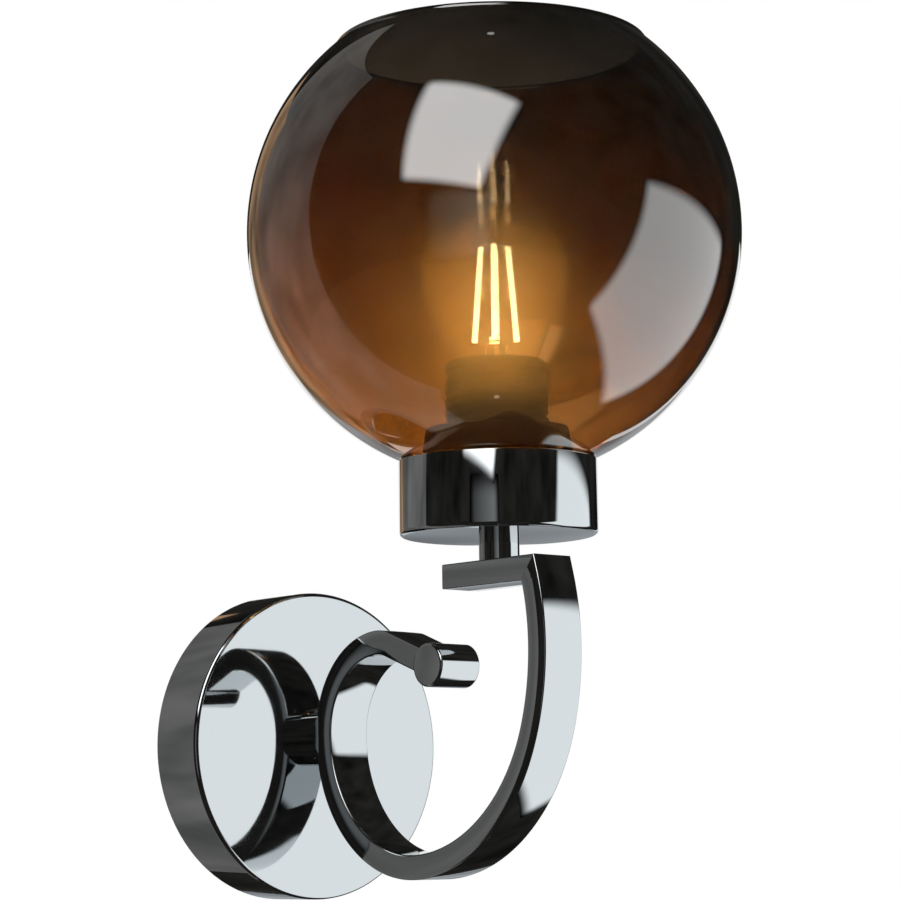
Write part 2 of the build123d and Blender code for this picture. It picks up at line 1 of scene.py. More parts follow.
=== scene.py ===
# %% [markdown]
# # A chromed wall light with a smoked glass globe
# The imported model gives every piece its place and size. This file dresses it: the
# turned, bent and blown pieces are made again with fine curves, because polished
# chrome and glass show every facet, and the flat hidden pieces keep their shape and
# only get a finish. The scene is in metres, +Z is up and the wall is at Y = 0.

import bmesh
import bpy
import math
from mathutils import Matrix, Vector


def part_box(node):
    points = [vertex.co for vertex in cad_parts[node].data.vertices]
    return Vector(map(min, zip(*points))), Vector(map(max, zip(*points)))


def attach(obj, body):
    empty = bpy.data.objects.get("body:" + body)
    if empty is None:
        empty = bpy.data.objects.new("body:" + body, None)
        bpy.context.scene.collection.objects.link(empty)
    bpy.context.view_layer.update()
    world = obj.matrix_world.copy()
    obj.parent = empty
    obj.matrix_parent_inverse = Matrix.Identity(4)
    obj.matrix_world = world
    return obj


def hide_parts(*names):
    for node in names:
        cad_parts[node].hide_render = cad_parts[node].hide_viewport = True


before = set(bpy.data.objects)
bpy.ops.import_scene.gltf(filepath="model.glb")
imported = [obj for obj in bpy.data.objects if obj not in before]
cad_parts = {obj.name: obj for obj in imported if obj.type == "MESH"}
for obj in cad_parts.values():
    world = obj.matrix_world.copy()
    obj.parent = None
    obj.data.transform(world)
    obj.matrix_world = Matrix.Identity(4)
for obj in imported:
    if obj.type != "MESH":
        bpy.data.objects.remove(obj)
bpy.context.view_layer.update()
mm = 0.001

# %% [markdown]
# ## Sizes
# Most sizes are read from the frame, so a piece can't drift from the solid that it
# stands for. What a box can't tell, such as the radii of the arm's bends, is written
# here once.

# %% Sizes read from the frame


def size_of(node):
    """(lowest corner, highest corner) of a node as vectors."""
    low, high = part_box(node)
    return Vector(low), Vector(high)


plate_low, plate_high = size_of("wall_plate")
plate_radius = (plate_high.z - plate_low.z) / 2
plate_face = -plate_low.y
cup_low, cup_high = size_of("cup")
cup_radius = (cup_high.x - cup_low.x) / 2
lamp_y = (cup_low.y + cup_high.y) / 2
globe_low, globe_high = size_of("glass_globe")
globe_radius = (globe_high.x - globe_low.x) / 2
skirt_low, skirt_high = size_of("holder_skirt")
skirt_radius = (skirt_high.x - skirt_low.x) / 2
ring_low, ring_high = size_of("shade_ring")
bulb_low, bulb_high = size_of("bulb_envelope")
bulb_radius = (bulb_high.x - bulb_low.x) / 2
cap_low, cap_high = size_of("bulb_cap")
cap_radius = (cap_high.x - cap_low.x) / 2
boss_low, boss_high = size_of("boss")
bar_low, bar_high = size_of("top_bar")
spacer_low, spacer_high = size_of("spacer_tube")
rod_low, rod_high = size_of("scroll_rod")
stem_low, stem_high = size_of("bulb_stem")
print("lamp axis at y", lamp_y, "globe radius", globe_radius)

# %% Sizes that a box can't tell
boss_rise = 4.0 * mm
arm_width = bar_high.x - bar_low.x
arm_depth = bar_high.z - bar_low.z
arm_edge = 0.7 * mm
centre_out = plate_face + 9.2 * mm + arm_depth / 2
lower_radius = 55.6 * mm
lower_angle = 93.7
outer_radius = 77.4 * mm
outer_angle = 68.7
rise_radius = 105.2 * mm
rise_angle = 32.5
rise_run = 3.2 * mm
curl_radius = 36.5 * mm
curl_angle = 86.0
bend_radius = 20.0 * mm
bend_angle = 24.6
curl_run = 27.8 * mm
rod_edge = 1.0 * mm
plate_wall = 1.2 * mm
plate_edge = 1.6 * mm
plate_dome = 0.8 * mm
cup_wall = 1.2 * mm
cup_edge = 2.0 * mm
glass_wall = 3.0 * mm
mouth_radius = 63.8 * mm
fitter_radius = 21.6 * mm
skirt_bore = 17.7 * mm
ring_wall = 2.2 * mm
ring_bore = 21.1 * mm
bulb_glass = 0.8 * mm
bulb_neck_radius = 17.0 * mm
bulb_neck_rise = 42.0 * mm
cap_height = 26.5 * mm

# %% [markdown]
# ## Mesh helpers
# A turned piece is an outline of edges that is spun once round its axis. The outline
# itself is drawn the same way: a point is extruded straight, or spun about the middle
# of an arc. So a whole lathe shape comes from one starting vertex.

# %% Outline and lathe
ROUND = 160


def draw_outline(bm, start, steps):
    """Chain of edges from start. A step is a point, or an arc (centre, axis, degrees, parts)."""
    last = bm.verts.new(start)
    for step in steps:
        if len(step) == 3:
            point = bm.verts.new(step)
            bm.edges.new((last, point))
            last = point
        else:
            centre, axis, degrees, parts = step
            arc = bmesh.ops.spin(
                bm, geom=[last], cent=centre, axis=axis, angle=math.radians(degrees), steps=parts
            )
            last = [item for item in arc["geom_last"] if isinstance(item, bmesh.types.BMVert)][0]
    return last


def turn_outline(bm, centre, axis, parts=ROUND):
    """Spin every edge once round an axis, and close the seam and the poles."""
    bmesh.ops.remove_doubles(bm, verts=bm.verts, dist=0.001 * mm)
    bmesh.ops.spin(
        bm,
        geom=bm.verts[:] + bm.edges[:],
        cent=centre,
        axis=axis,
        angle=math.tau,
        steps=parts,
        use_merge=True,
    )
    bmesh.ops.remove_doubles(bm, verts=bm.verts, dist=0.001 * mm)
    loose = [edge for edge in bm.edges if edge.calc_length() < 0.001 * mm]
    bmesh.ops.dissolve_degenerate(bm, dist=0.001 * mm, edges=loose)
    bmesh.ops.recalc_face_normals(bm, faces=bm.faces)


def finish_piece(name, bm, material, body, nodes, sharp=30):
    """Turn a bmesh into a shown piece that rides on a body and stands for its CAD nodes."""
    mesh = bpy.data.meshes.new(name)
    bm.to_mesh(mesh)
    bm.free()
    mesh.shade_smooth()
    mesh.set_sharp_from_angle(angle=math.radians(sharp))
    mesh.materials.append(material)
    piece = bpy.data.objects.new(name, mesh)
    bpy.context.scene.collection.objects.link(piece)
    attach(piece, body)
    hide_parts(*nodes)
    print(name, len(mesh.polygons), "faces")
    return piece


# %% [markdown]
# The pieces on the lamp's axis are drawn by radius and height. Arcs turn
# anticlockwise, seen with the radius to the right and the height up.

# %% Drawing on the lamp's axis
UPRIGHT = (0, 0, 1)
CROSS = (0, -1, 0)


def at_lamp(radius, height):
    """Point of a lamp outline."""
    return (radius, lamp_y, height)


def lamp_arc(radius, height, degrees, parts):
    """Arc of a lamp outline about a centre."""
    return (at_lamp(radius, height), CROSS, degrees, parts)


def lathe_on_lamp(name, start, steps, material, body, nodes, sharp=30, parts=ROUND):
    """Turned piece on the lamp's axis, from its outline."""
    bm = bmesh.new()
    draw_outline(bm, start, steps)
    turn_outline(bm, at_lamp(0, 0), UPRIGHT, parts)
    return finish_piece(name, bm, material, body, nodes, sharp)


# %% [markdown]
# ## Material helpers
# Colours are written as sRGB hex, the way a paint card gives them, and turned to the
# linear values that the renderer wants. One small function adds a node with its
# settings and its links.

# %% Colour and node helpers


def linear(hex_colour, alpha=1.0):
    """sRGB hex to a linear RGBA colour."""
    channels = [int(hex_colour[place : place + 2], 16) / 255 for place in (1, 3, 5)]
    values = [c / 12.92 if c <= 0.04045 else ((c + 0.055) / 1.055) ** 2.4 for c in channels]
    return (*values, alpha)


def add_node(tree, kind, inputs=None, **settings):
    """New node with its settings, its input values and its links."""
    node = tree.nodes.new(kind)
    for name, value in settings.items():
        setattr(node, name, value)
    for socket, value in (inputs or {}).items():
        if isinstance(value, bpy.types.NodeSocket):
            tree.links.new(value, node.inputs[socket])
        else:
            node.inputs[socket].default_value = value
    return node


def new_material(name):
    """Empty material: (material, node tree, object coordinates socket)."""
    material = bpy.data.materials.new(name)
    material.use_nodes = True
    tree = material.node_tree
    tree.nodes.clear()
    place = add_node(tree, "ShaderNodeTexCoord").outputs["Object"]
    return material, tree, place


def show_surface(tree, shader):
    """Link a shader to the material's output."""
    add_node(tree, "ShaderNodeOutputMaterial", {"Surface": shader})


def speckle(tree, place, size, detail=4.0):
    """Noise whose grain is about size metres wide."""
    grain = {"Vector": place, "Scale": 1 / size, "Detail": detail}
    noise = add_node(tree, "ShaderNodeTexNoise", grain)
    return noise.outputs["Fac"]


def spread(tree, value, low, high):
    """Noise values, which lie around a half, spread over low to high."""
    stretched = add_node(
        tree,
        "ShaderNodeMapRange",
        {"Value": value, "From Min": 0.3, "From Max": 0.7, "To Min": low, "To Max": high},
    )
    return stretched.outputs["Result"]


def bumps(tree, value, strength, depth):
    """Normal socket of a bump of some depth in metres."""
    node = add_node(
        tree, "ShaderNodeBump", {"Height": value, "Strength": strength, "Distance": depth}
    )
    return node.outputs["Normal"]


# %% [markdown]
# ## Polished chrome
# The plate, arm, rod, bar and cup are steel, ground, polished and chrome plated. Such
# a coat mirrors the room almost sharply. What tells the eye that it is metal and not
# a drawing is a faint unevenness: a polishing ripple a few millimetres long, and
# wiping marks that dull it here and there. Both are noise on the roughness and a
# very shallow bump.

# %% Chrome material


def polished_chrome():
    """Bright chrome plate over polished steel."""
    material, tree, place = new_material("polished_chrome_plate")
    haze = spread(tree, speckle(tree, place, 18 * mm), 0.025, 0.07)
    ripple = bumps(tree, speckle(tree, place, 7 * mm, 1.0), 0.25, 0.02 * mm)
    shader = add_node(
        tree,
        "ShaderNodeBsdfPrincipled",
        {"Base Color": linear("#c2c6c8"), "Metallic": 1.0, "Roughness": haze, "Normal": ripple},
    )
    show_surface(tree, shader.outputs["BSDF"])
    return material


chrome = polished_chrome()

# %% [markdown]
# ## Zinc-plated steel
# The bracket, screws, nuts, washer and hollow rods are mild steel with a thin zinc
# coat. It is greyer and duller than chrome, with a cloudy grain where the zinc
# crystals lie.

# %% Zinc steel material


def zinc_plated_steel():
    """Bright zinc on pressed steel."""
    material, tree, place = new_material("zinc_plated_steel")
    cloud = speckle(tree, place, 3 * mm)
    tone = add_node(
        tree,
        "ShaderNodeMix",
        {"Factor": cloud, 6: linear("#9fa2a0"), 7: linear("#c7cac8")},
        data_type="RGBA",
    )
    shader = add_node(
        tree,
        "ShaderNodeBsdfPrincipled",
        {
            "Base Color": tone.outputs[2],
            "Metallic": 1.0,
            "Roughness": spread(tree, cloud, 0.28, 0.45),
            "Normal": bumps(tree, speckle(tree, place, 0.8 * mm), 0.3, 0.02 * mm),
        },
    )
    show_surface(tree, shader.outputs["BSDF"])
    return material


zinc_steel = zinc_plated_steel()

# %% [markdown]
# ## Moulded plastics, porcelain, rubber and small metals
# These share one recipe: a base colour that a fine noise shifts a little, an even
# sheen and a shallow skin texture. Only the colour, the gloss and the grain differ,
# so one function makes them, and each call says what the material is.

# %% Plain finishes


def plain_finish(name, dark, pale, roughness, grain, metallic=0.0, skin=0.02 * mm):
    """Material that varies between two near colours on a grain of some size."""
    material, tree, place = new_material(name)
    shade = speckle(tree, place, grain)
    tone = add_node(
        tree,
        "ShaderNodeMix",
        {"Factor": spread(tree, shade, 0.0, 1.0), 6: linear(dark), 7: linear(pale)},
        data_type="RGBA",
    )
    shader = add_node(
        tree,
        "ShaderNodeBsdfPrincipled",
        {
            "Base Color": tone.outputs[2],
            "Metallic": metallic,
            "Roughness": spread(tree, shade, roughness * 0.8, roughness * 1.2),
            "Normal": bumps(tree, speckle(tree, place, 0.6 * mm), 0.25, skin),
        },
    )
    show_surface(tree, shader.outputs["BSDF"])
    return material


# Brown-black thermoset of the lampholder and its ring, pressed in a polished mould.
dark_thermoset = plain_finish("brown_black_thermoset", "#1c1511", "#2a1f18", 0.38, 4 * mm)
# Natural nylon of the terminal block, slightly see-through and waxy.
white_nylon = plain_finish("natural_nylon", "#dcdcd4", "#ecece6", 0.45, 6 * mm)
# Unglazed lampholder porcelain, dry and chalky.
porcelain = plain_finish("lampholder_porcelain", "#dedbd2", "#ebe8e0", 0.6, 5 * mm)
# Silicone gasket, matt and even.
black_silicone = plain_finish("black_silicone_rubber", "#101010", "#1a1a1a", 0.75, 3 * mm)
# Drawn brass of the screw shell, the contact and the clamp screws.
drawn_brass = plain_finish("drawn_brass", "#b8924a", "#cfa95c", 0.25, 2 * mm, metallic=1.0)
# Nickel on the bulb's rolled cap, a little yellow and softly polished.
rolled_nickel = plain_finish("rolled_nickel_cap", "#b9b4a8", "#cfcabd", 0.22, 3 * mm, metallic=1.0)
# Solder tip of the bulb, dull grey with flow marks.
dull_solder = plain_finish("dull_solder", "#9a9b98", "#b5b6b2", 0.4, 1 * mm, metallic=1.0)
# Black insulating glass at the foot of the cap.
black_insulator = plain_finish("black_insulator_glass", "#0b0b0d", "#141416", 0.15, 2 * mm)
# Bright nickel wire that carries the filaments.
bright_wire = plain_finish("bright_nickel_wire", "#a7a6a2", "#c2c1bc", 0.3, 1 * mm, metallic=1.0)

# %% [markdown]
# ## Glass that lets lamp light out
# A renderer's shadow rays stop at glass, so a lamp inside a glass shade would light
# nothing. The usual cure is to make the glass simply transparent to shadow rays,
# with its tint, and real glass to all others.
#
# The globe is blown clear glass with a smoke coat: brown-grey, dense at the top and
# thinner towards the foot. The coat also mirrors more than bare glass does, which is
# why the windows of light on it are so plain. A small share of the glass is blurred,
# for the dust and coat that scatter the lamp's light into an amber glow.
#
# One thing here is chosen for its look and isn't physics. On the side that faces the
# bulb, the inner face is also milky and mirrors strongly. That gives the far wall its
# glow and the bulb's mirror image, and leaves the near wall clear to look through.

# %% Glass helper


def lamp_glass(tree, shader, shadow_tint):
    """Mix a glass shader with plain tinted transparency for shadow rays."""
    rays = add_node(tree, "ShaderNodeLightPath")
    clear = add_node(tree, "ShaderNodeBsdfTransparent", {"Color": shadow_tint})
    mixed = add_node(
        tree,
        "ShaderNodeMixShader",
        {0: rays.outputs["Is Shadow Ray"], 1: shader, 2: clear.outputs["BSDF"]},
    )
    show_surface(tree, mixed.outputs["Shader"])


# %% Smoked glass material


SMOKE_SLANT = (0.226, -0.197, 1.0)
SMOKE_TINTS = ((0.0, "#c4a468"), (0.25, "#8c7046"), (0.55, "#463a2c"), (1.0, "#16130f"))


def smoke_level(tree, place):
    """0 at the globe's foot and 1 at its mouth, a little slanted and clouded."""
    slant = add_node(
        tree,
        "ShaderNodeVectorMath",
        {0: place, 1: SMOKE_SLANT},
        operation="DOT_PRODUCT",
    )
    drift = add_node(
        tree,
        "ShaderNodeMath",
        {0: speckle(tree, place, 60 * mm, 2.0), 1: 30 * mm, 2: slant.outputs["Value"]},
        operation="MULTIPLY_ADD",
    )
    foot = globe_low.z + lamp_y * SMOKE_SLANT[1]
    rise = add_node(
        tree,
        "ShaderNodeMapRange",
        {
            "Value": drift.outputs["Value"],
            "From Min": foot,
            "From Max": foot + 15 * mm + globe_high.z - globe_low.z,
        },
    )
    return rise.outputs["Result"]


def smoke_tint(tree, level):
    """Colour of the smoke coat at some level."""
    smoke = add_node(tree, "ShaderNodeValToRGB", {"Fac": level})
    ramp = smoke.color_ramp.elements
    for extra in SMOKE_TINTS[2:]:
        ramp.new(extra[0])
    for stop, (height, tint) in zip(ramp, SMOKE_TINTS):
        stop.position = height
        stop.color = linear(tint)
    return smoke.outputs["Color"]


def mix_shaders(tree, share, first, second):
    """First shader with a share of the second."""
    node = add_node(tree, "ShaderNodeMixShader", {0: share, 1: first, 2: second})
    return node.outputs["Shader"]


def smoke_coated_glass(name, blurred, milky, plated):
    """Blown glass under a brown-grey smoke coat that thins towards the foot.

    Blurred is the share of light that the face scatters onwards, from both sides.
    Milky is the share that it scatters back and plated the share that it mirrors. Both
    of these act on the face's own side alone, which no real glass does.
    """
    material, tree, place = new_material(name)
    level = smoke_level(tree, place)
    tint = smoke_tint(tree, level)
    backface = add_node(tree, "ShaderNodeNewGeometry").outputs["Backfacing"]

    def on_own_side(own, back):
        ranged = {"Value": backface, "To Min": own, "To Max": back}
        return add_node(tree, "ShaderNodeMapRange", ranged).outputs["Result"]

    clear_share = add_node(
        tree,
        "ShaderNodeBsdfPrincipled",
        {
            "Base Color": tint,
            "Roughness": 0.0,
            "IOR": 1.5,
            "Transmission Weight": 1.0,
            "Coat Weight": 1.0,
            "Coat Roughness": 0.01,
            "Coat IOR": 2.3,
        },
    ).outputs["BSDF"]
    haze = add_node(
        tree,
        "ShaderNodeMix",
        {"Factor": level, 6: linear("#ff9a36"), 7: linear("#1c1209")},
        data_type="RGBA",
    ).outputs[2]
    blurred_share = add_node(
        tree,
        "ShaderNodeBsdfPrincipled",
        {"Base Color": haze, "Roughness": 0.5, "IOR": 1.5, "Transmission Weight": 1.0},
    ).outputs["BSDF"]
    milky_share = add_node(tree, "ShaderNodeBsdfDiffuse", {"Color": haze}).outputs["BSDF"]
    mirror_share = add_node(
        tree,
        "ShaderNodeBsdfPrincipled",
        {"Base Color": linear("#f0dcc0"), "Metallic": 1.0, "Roughness": 0.03},
    ).outputs["BSDF"]
    scattering = blurred + milky
    scatter = mix_shaders(
        tree, on_own_side(milky / scattering, 0.0), blurred_share, milky_share
    )
    whole = mix_shaders(tree, on_own_side(scattering, blurred), clear_share, scatter)
    whole = mix_shaders(tree, on_own_side(plated, 0.0), whole, mirror_share)
    lamp_glass(tree, whole, tint)
    return material


smoked_glass = smoke_coated_glass("smoke_coated_glass", 0.022, 0.002, 0.0)
smoked_glass_inside = smoke_coated_glass("smoke_coated_glass_inside", 0.022, 0.3, 0.4)

# %% [markdown]
# The bulb is thin clear glass. Seen whole it only shows as a fine outline, plus the
# warm haze of its own light on the inside.

# %% Bulb glass material


def thin_bulb_glass(name, dust, milky):
    """Clear glass with a dusty share, part of it milky, that catches the filaments' light."""
    material, tree, place = new_material(name)
    waves = bumps(tree, speckle(tree, place, 25 * mm, 1.0), 0.1, 0.1 * mm)
    clear_share = add_node(
        tree,
        "ShaderNodeBsdfPrincipled",
        {
            "Base Color": linear("#faf6ee"),
            "Roughness": 0.0,
            "IOR": 1.47,
            "Transmission Weight": 1.0,
            "Normal": waves,
        },
    )
    soft_share = add_node(
        tree,
        "ShaderNodeBsdfPrincipled",
        {
            "Base Color": linear("#ffe2b4"),
            "Roughness": 0.2,
            "IOR": 1.47,
            "Transmission Weight": 1.0,
        },
    )
    milky_share = add_node(tree, "ShaderNodeBsdfTranslucent", {"Color": linear("#ffb050")})
    scatter = add_node(
        tree,
        "ShaderNodeMixShader",
        {0: milky, 1: soft_share.outputs["BSDF"], 2: milky_share.outputs["BSDF"]},
    )
    whole = add_node(
        tree,
        "ShaderNodeMixShader",
        {0: dust, 1: clear_share.outputs["BSDF"], 2: scatter.outputs["Shader"]},
    )
    lamp_glass(tree, whole.outputs["Shader"], linear("#faf6ee"))
    return material


bulb_glass_material = thin_bulb_glass("thin_bulb_glass", 0.12, 0.12)
stem_glass_material = thin_bulb_glass("drawn_stem_glass", 0.12, 0.3)

# %% [markdown]
# The filament sticks are rows of tiny diodes under a yellow phosphor coat. Real ones
# shine warm, and a camera burns them out to white. Here their light is set a little
# blue instead, only so that it still reads near white after the brown glass.

# %% Filament material


def lit_phosphor():
    """Glowing phosphor coat, slightly uneven along the stick."""
    material, tree, place = new_material("lit_phosphor_coat")
    beads = spread(tree, speckle(tree, place, 2 * mm), 460.0, 560.0)
    glow = add_node(
        tree, "ShaderNodeEmission", {"Color": (0.75, 0.92, 1.0, 1.0), "Strength": beads}
    )
    show_surface(tree, glow.outputs["Emission"])
    return material


phosphor = lit_phosphor()

# %% [markdown]
# ## Finishes of the pieces that keep their solids
# The hidden steel, the terminal block, the ceramic core and the small parts are flat
# or plainly round, so their solids stay and only their material slots change.

# %% Paint the CAD nodes


def paint(material, *names):
    """Give CAD nodes a finish in every material slot."""
    for name in names:
        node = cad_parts[name]
        if not node.data.materials:
            node.data.materials.append(material)
        for index in range(len(node.material_slots)):
            node.material_slots[index].material = material


paint(zinc_steel, "wall_bracket", "side_screws", "block_screw", "earth_screw", "plate_nipple")
paint(zinc_steel, "plate_washer", "plate_nut", "bar_nut", "lamp_nipple", "cup_nut")
paint(white_nylon, "terminal_block")
paint(drawn_brass, "clamp_screws", "screw_shell", "holder_contact")
paint(dark_thermoset, "holder_latch")
paint(porcelain, "holder_core")
paint(black_silicone, "ring_gasket")
paint(black_insulator, "bulb_insulator")
paint(dull_solder, "bulb_contact")
paint(phosphor, "bulb_filaments")
paint(bright_wire, "bulb_wires")

# %% [markdown]
# ## Wall plate
# A pressed can with a barely domed front. Its outline runs over the dome, round the
# front edge, down the side and back up inside, and is spun about the wall's normal.
# The arc of the dome is so shallow that its radius comes from its rise and width.

# %% Turn the wall plate


def dome_arc(reach, rise):
    """(radius, degrees) of a shallow arc of some rise and reach."""
    radius = (reach**2 + rise**2) / (2 * rise)
    return radius, math.degrees(math.asin(reach / radius))


def make_wall_plate():
    """Turned can, open at the wall."""
    bm = bmesh.new()
    flat_reach = plate_radius - plate_edge
    radius, sweep = dome_arc(flat_reach, plate_dome * (flat_reach / plate_radius) ** 2)
    apex = (0, -plate_face, 0)
    side = (plate_radius, plate_edge + plate_dome - plate_face, 0)
    edge_centre = (flat_reach, side[1], 0)
    bore = plate_radius - plate_wall
    inner_centre = (bore - plate_wall, plate_wall * 2 + plate_dome - plate_face, 0)
    steps = [
        ((0, radius - plate_face, 0), (0, 0, 1), sweep, 24),
        (edge_centre[0], edge_centre[1] - plate_edge, 0),
        (edge_centre, (0, 0, 1), 90, 8),
        (plate_radius, 0, 0),
        (bore, 0, 0),
        (bore, inner_centre[1], 0),
        (inner_centre, (0, 0, 1), -90, 6),
        (0, inner_centre[1] - plate_wall, 0),
    ]
    draw_outline(bm, apex, steps)
    turn_outline(bm, (0, 0, 0), (0, 1, 0))
    return finish_piece("plate_shell", bm, chrome, "base", ["wall_plate"])


make_wall_plate()

# %% [markdown]
# ## Scrolled arm
# Flat tube, bent to arcs that run into each other without a kink. Every arc is a spin
# of the same rounded section about the arc's own middle, so the section is drawn once
# at the boss and then carried both ways: down, under and up to the mitre, and up,
# over and down to the rod.

# %% Points of the arm's run


def swing(centre, radius, degrees):
    """Point on a circle in the Y-Z plane, the angle from +Y towards +Z."""
    angle = math.radians(degrees)
    return Vector((0, centre[1] + radius * math.cos(angle), centre[2] + radius * math.sin(angle)))


lower_centre = Vector((0, -centre_out - lower_radius, boss_rise))
lower_end = swing(lower_centre, lower_radius, -lower_angle)
outer_centre = swing(lower_end, outer_radius, 180 - lower_angle)
outer_end = swing(outer_centre, outer_radius, -lower_angle - outer_angle)
rise_centre = swing(outer_end, rise_radius, 180 - lower_angle - outer_angle)
whole_angle = lower_angle + outer_angle + rise_angle
rise_end = swing(rise_centre, rise_radius, -whole_angle)
rise_heading = swing((0, 0, 0), 1, -whole_angle - 90)
mitre = rise_end + rise_heading * rise_run
mitre_normal = (rise_heading + Vector((0, 1, 0))).normalized()
curl_centre = Vector((0, -centre_out - curl_radius, boss_rise))
bend_centre = swing(curl_centre, curl_radius - bend_radius, curl_angle)
bend_end = swing(bend_centre, bend_radius, curl_angle + bend_angle)
curl_heading = swing((0, 0, 0), 1, curl_angle + bend_angle + 90)
print("mitre at", mitre, "rod at", bend_end + curl_heading * curl_run)

# %% Section and runs of the flat tube


def rounded_section(bm, centre, width, depth, along):
    """Edges of a rounded rectangle, width in X, its depth along Y or Z."""
    grid = bmesh.ops.create_grid(bm, x_segments=1, y_segments=1, size=0.5)
    bmesh.ops.scale(bm, vec=(width, depth, 1), verts=grid["verts"])
    bmesh.ops.bevel(
        bm,
        geom=grid["verts"],
        offset=arm_edge,
        affect="VERTICES",
        segments=4,
        profile=0.5,
        material=-1,
    )
    face = bm.faces[:][-1]
    if along == "Z":
        upright = Matrix.Rotation(math.pi / 2, 3, "X")
        bmesh.ops.rotate(bm, verts=bm.verts, cent=(0, 0, 0), matrix=upright)
    bmesh.ops.translate(bm, verts=bm.verts, vec=centre)
    rim = list(face.edges)
    bmesh.ops.delete(bm, geom=[face], context="FACES_ONLY")
    return rim


def bend_run(bm, rim, centre, degrees, parts):
    """Carry a rim round an arc in the Y-Z plane."""
    points = list({vert for edge in rim for vert in edge.verts})
    run = bmesh.ops.spin(
        bm,
        geom=points + rim,
        cent=centre,
        axis=(1, 0, 0),
        angle=math.radians(degrees),
        steps=parts,
    )
    return [item for item in run["geom_last"] if isinstance(item, bmesh.types.BMEdge)]


def straight_run(bm, rim, heading, point, normal):
    """Extrude a rim along a heading until it meets a plane."""
    run = bmesh.ops.extrude_edge_only(bm, edges=rim)
    ends = [item for item in run["geom"] if isinstance(item, bmesh.types.BMVert)]
    for vert in ends:
        distance = (point - vert.co).dot(normal) / heading.dot(normal)
        vert.co += heading * distance
    return [item for item in run["geom"] if isinstance(item, bmesh.types.BMEdge) and
            all(vert in ends for vert in item.verts)]


def make_scroll_arm():
    """Both runs of the arm from one section at the boss."""
    bm = bmesh.new()
    start = rounded_section(bm, (0, -centre_out, boss_rise), arm_width, arm_depth, "Y")
    rim = bend_run(bm, start, lower_centre, -lower_angle, 60)
    rim = bend_run(bm, rim, outer_centre, -outer_angle, 50)
    rim = bend_run(bm, rim, rise_centre, -rise_angle, 26)
    rim = straight_run(bm, rim, rise_heading, mitre, mitre_normal)
    bmesh.ops.contextual_create(bm, geom=rim)
    rim = bend_run(bm, start, curl_centre, curl_angle, 50)
    rim = bend_run(bm, rim, bend_centre, bend_angle, 16)
    rim = straight_run(bm, rim, curl_heading, bend_end + curl_heading * curl_run, curl_heading)
    bmesh.ops.contextual_create(bm, geom=rim)
    bmesh.ops.recalc_face_normals(bm, faces=bm.faces)
    return finish_piece("arm_tube", bm, chrome, "base", ["scroll_arm"], 25)


make_scroll_arm()

# %% [markdown]
# ## Top bar
# The same flat tube, laid level and mitred to the arm. Its back end is closed.

# %% Extrude the top bar


def make_top_bar():
    """Level bar from its closed end to the mitre."""
    bm = bmesh.new()
    back = Vector((0, bar_high.y, (bar_low.z + bar_high.z) / 2))
    start = rounded_section(bm, back, arm_width, arm_depth, "Z")
    bmesh.ops.contextual_create(bm, geom=start)
    rim = straight_run(bm, start, Vector((0, -1, 0)), mitre, mitre_normal)
    bmesh.ops.contextual_create(bm, geom=rim)
    bmesh.ops.recalc_face_normals(bm, faces=bm.faces)
    return finish_piece("bar_tube", bm, chrome, "base", ["top_bar"], 25)


make_top_bar()

# %% [markdown]
# ## Boss and rod
# The boss is a short round bar cut to the arm. Its far end lies hidden against the
# arm, so a plain cylinder that runs a little way into the tube shows the same. The
# rod across the curl's end is turned with softly rounded ends.

# %% Turn the boss and the rod


def make_boss():
    """Round bar from the plate into the arm."""
    bm = bmesh.new()
    radius = (boss_high.x - boss_low.x) / 2
    steps = [
        (radius, boss_high.y, boss_rise),
        (radius, boss_low.y, boss_rise),
        (0, boss_low.y, boss_rise),
    ]
    draw_outline(bm, (0, boss_high.y, boss_rise), steps)
    turn_outline(bm, (0, 0, boss_rise), (0, 1, 0), 96)
    return finish_piece("plate_boss", bm, chrome, "base", ["boss"])


def make_scroll_rod():
    """Short rod across the arm, with rounded end edges."""
    bm = bmesh.new()
    middle = (rod_low + rod_high) / 2
    radius = (rod_high.z - rod_low.z) / 2
    shoulder = rod_high.x - rod_edge
    ring = middle.z + radius - rod_edge
    steps = [
        (rod_low.x, middle.y, ring),
        ((-shoulder, middle.y, ring), (0, 1, 0), 90, 8),
        (shoulder, middle.y, middle.z + radius),
        ((shoulder, middle.y, ring), (0, 1, 0), 90, 8),
        (rod_high.x, middle.y, middle.z),
    ]
    draw_outline(bm, (rod_low.x, middle.y, middle.z), steps)
    turn_outline(bm, tuple(middle), (1, 0, 0), 96)
    return finish_piece("curl_rod", bm, chrome, "base", ["scroll_rod"])


make_boss()
make_scroll_rod()

# %% [markdown]
# ## Cup and spacer tube
# The cup is a spun bowl with a flat floor and straight side. It stands on a short
# tube that hides the hollow rod through the bar.

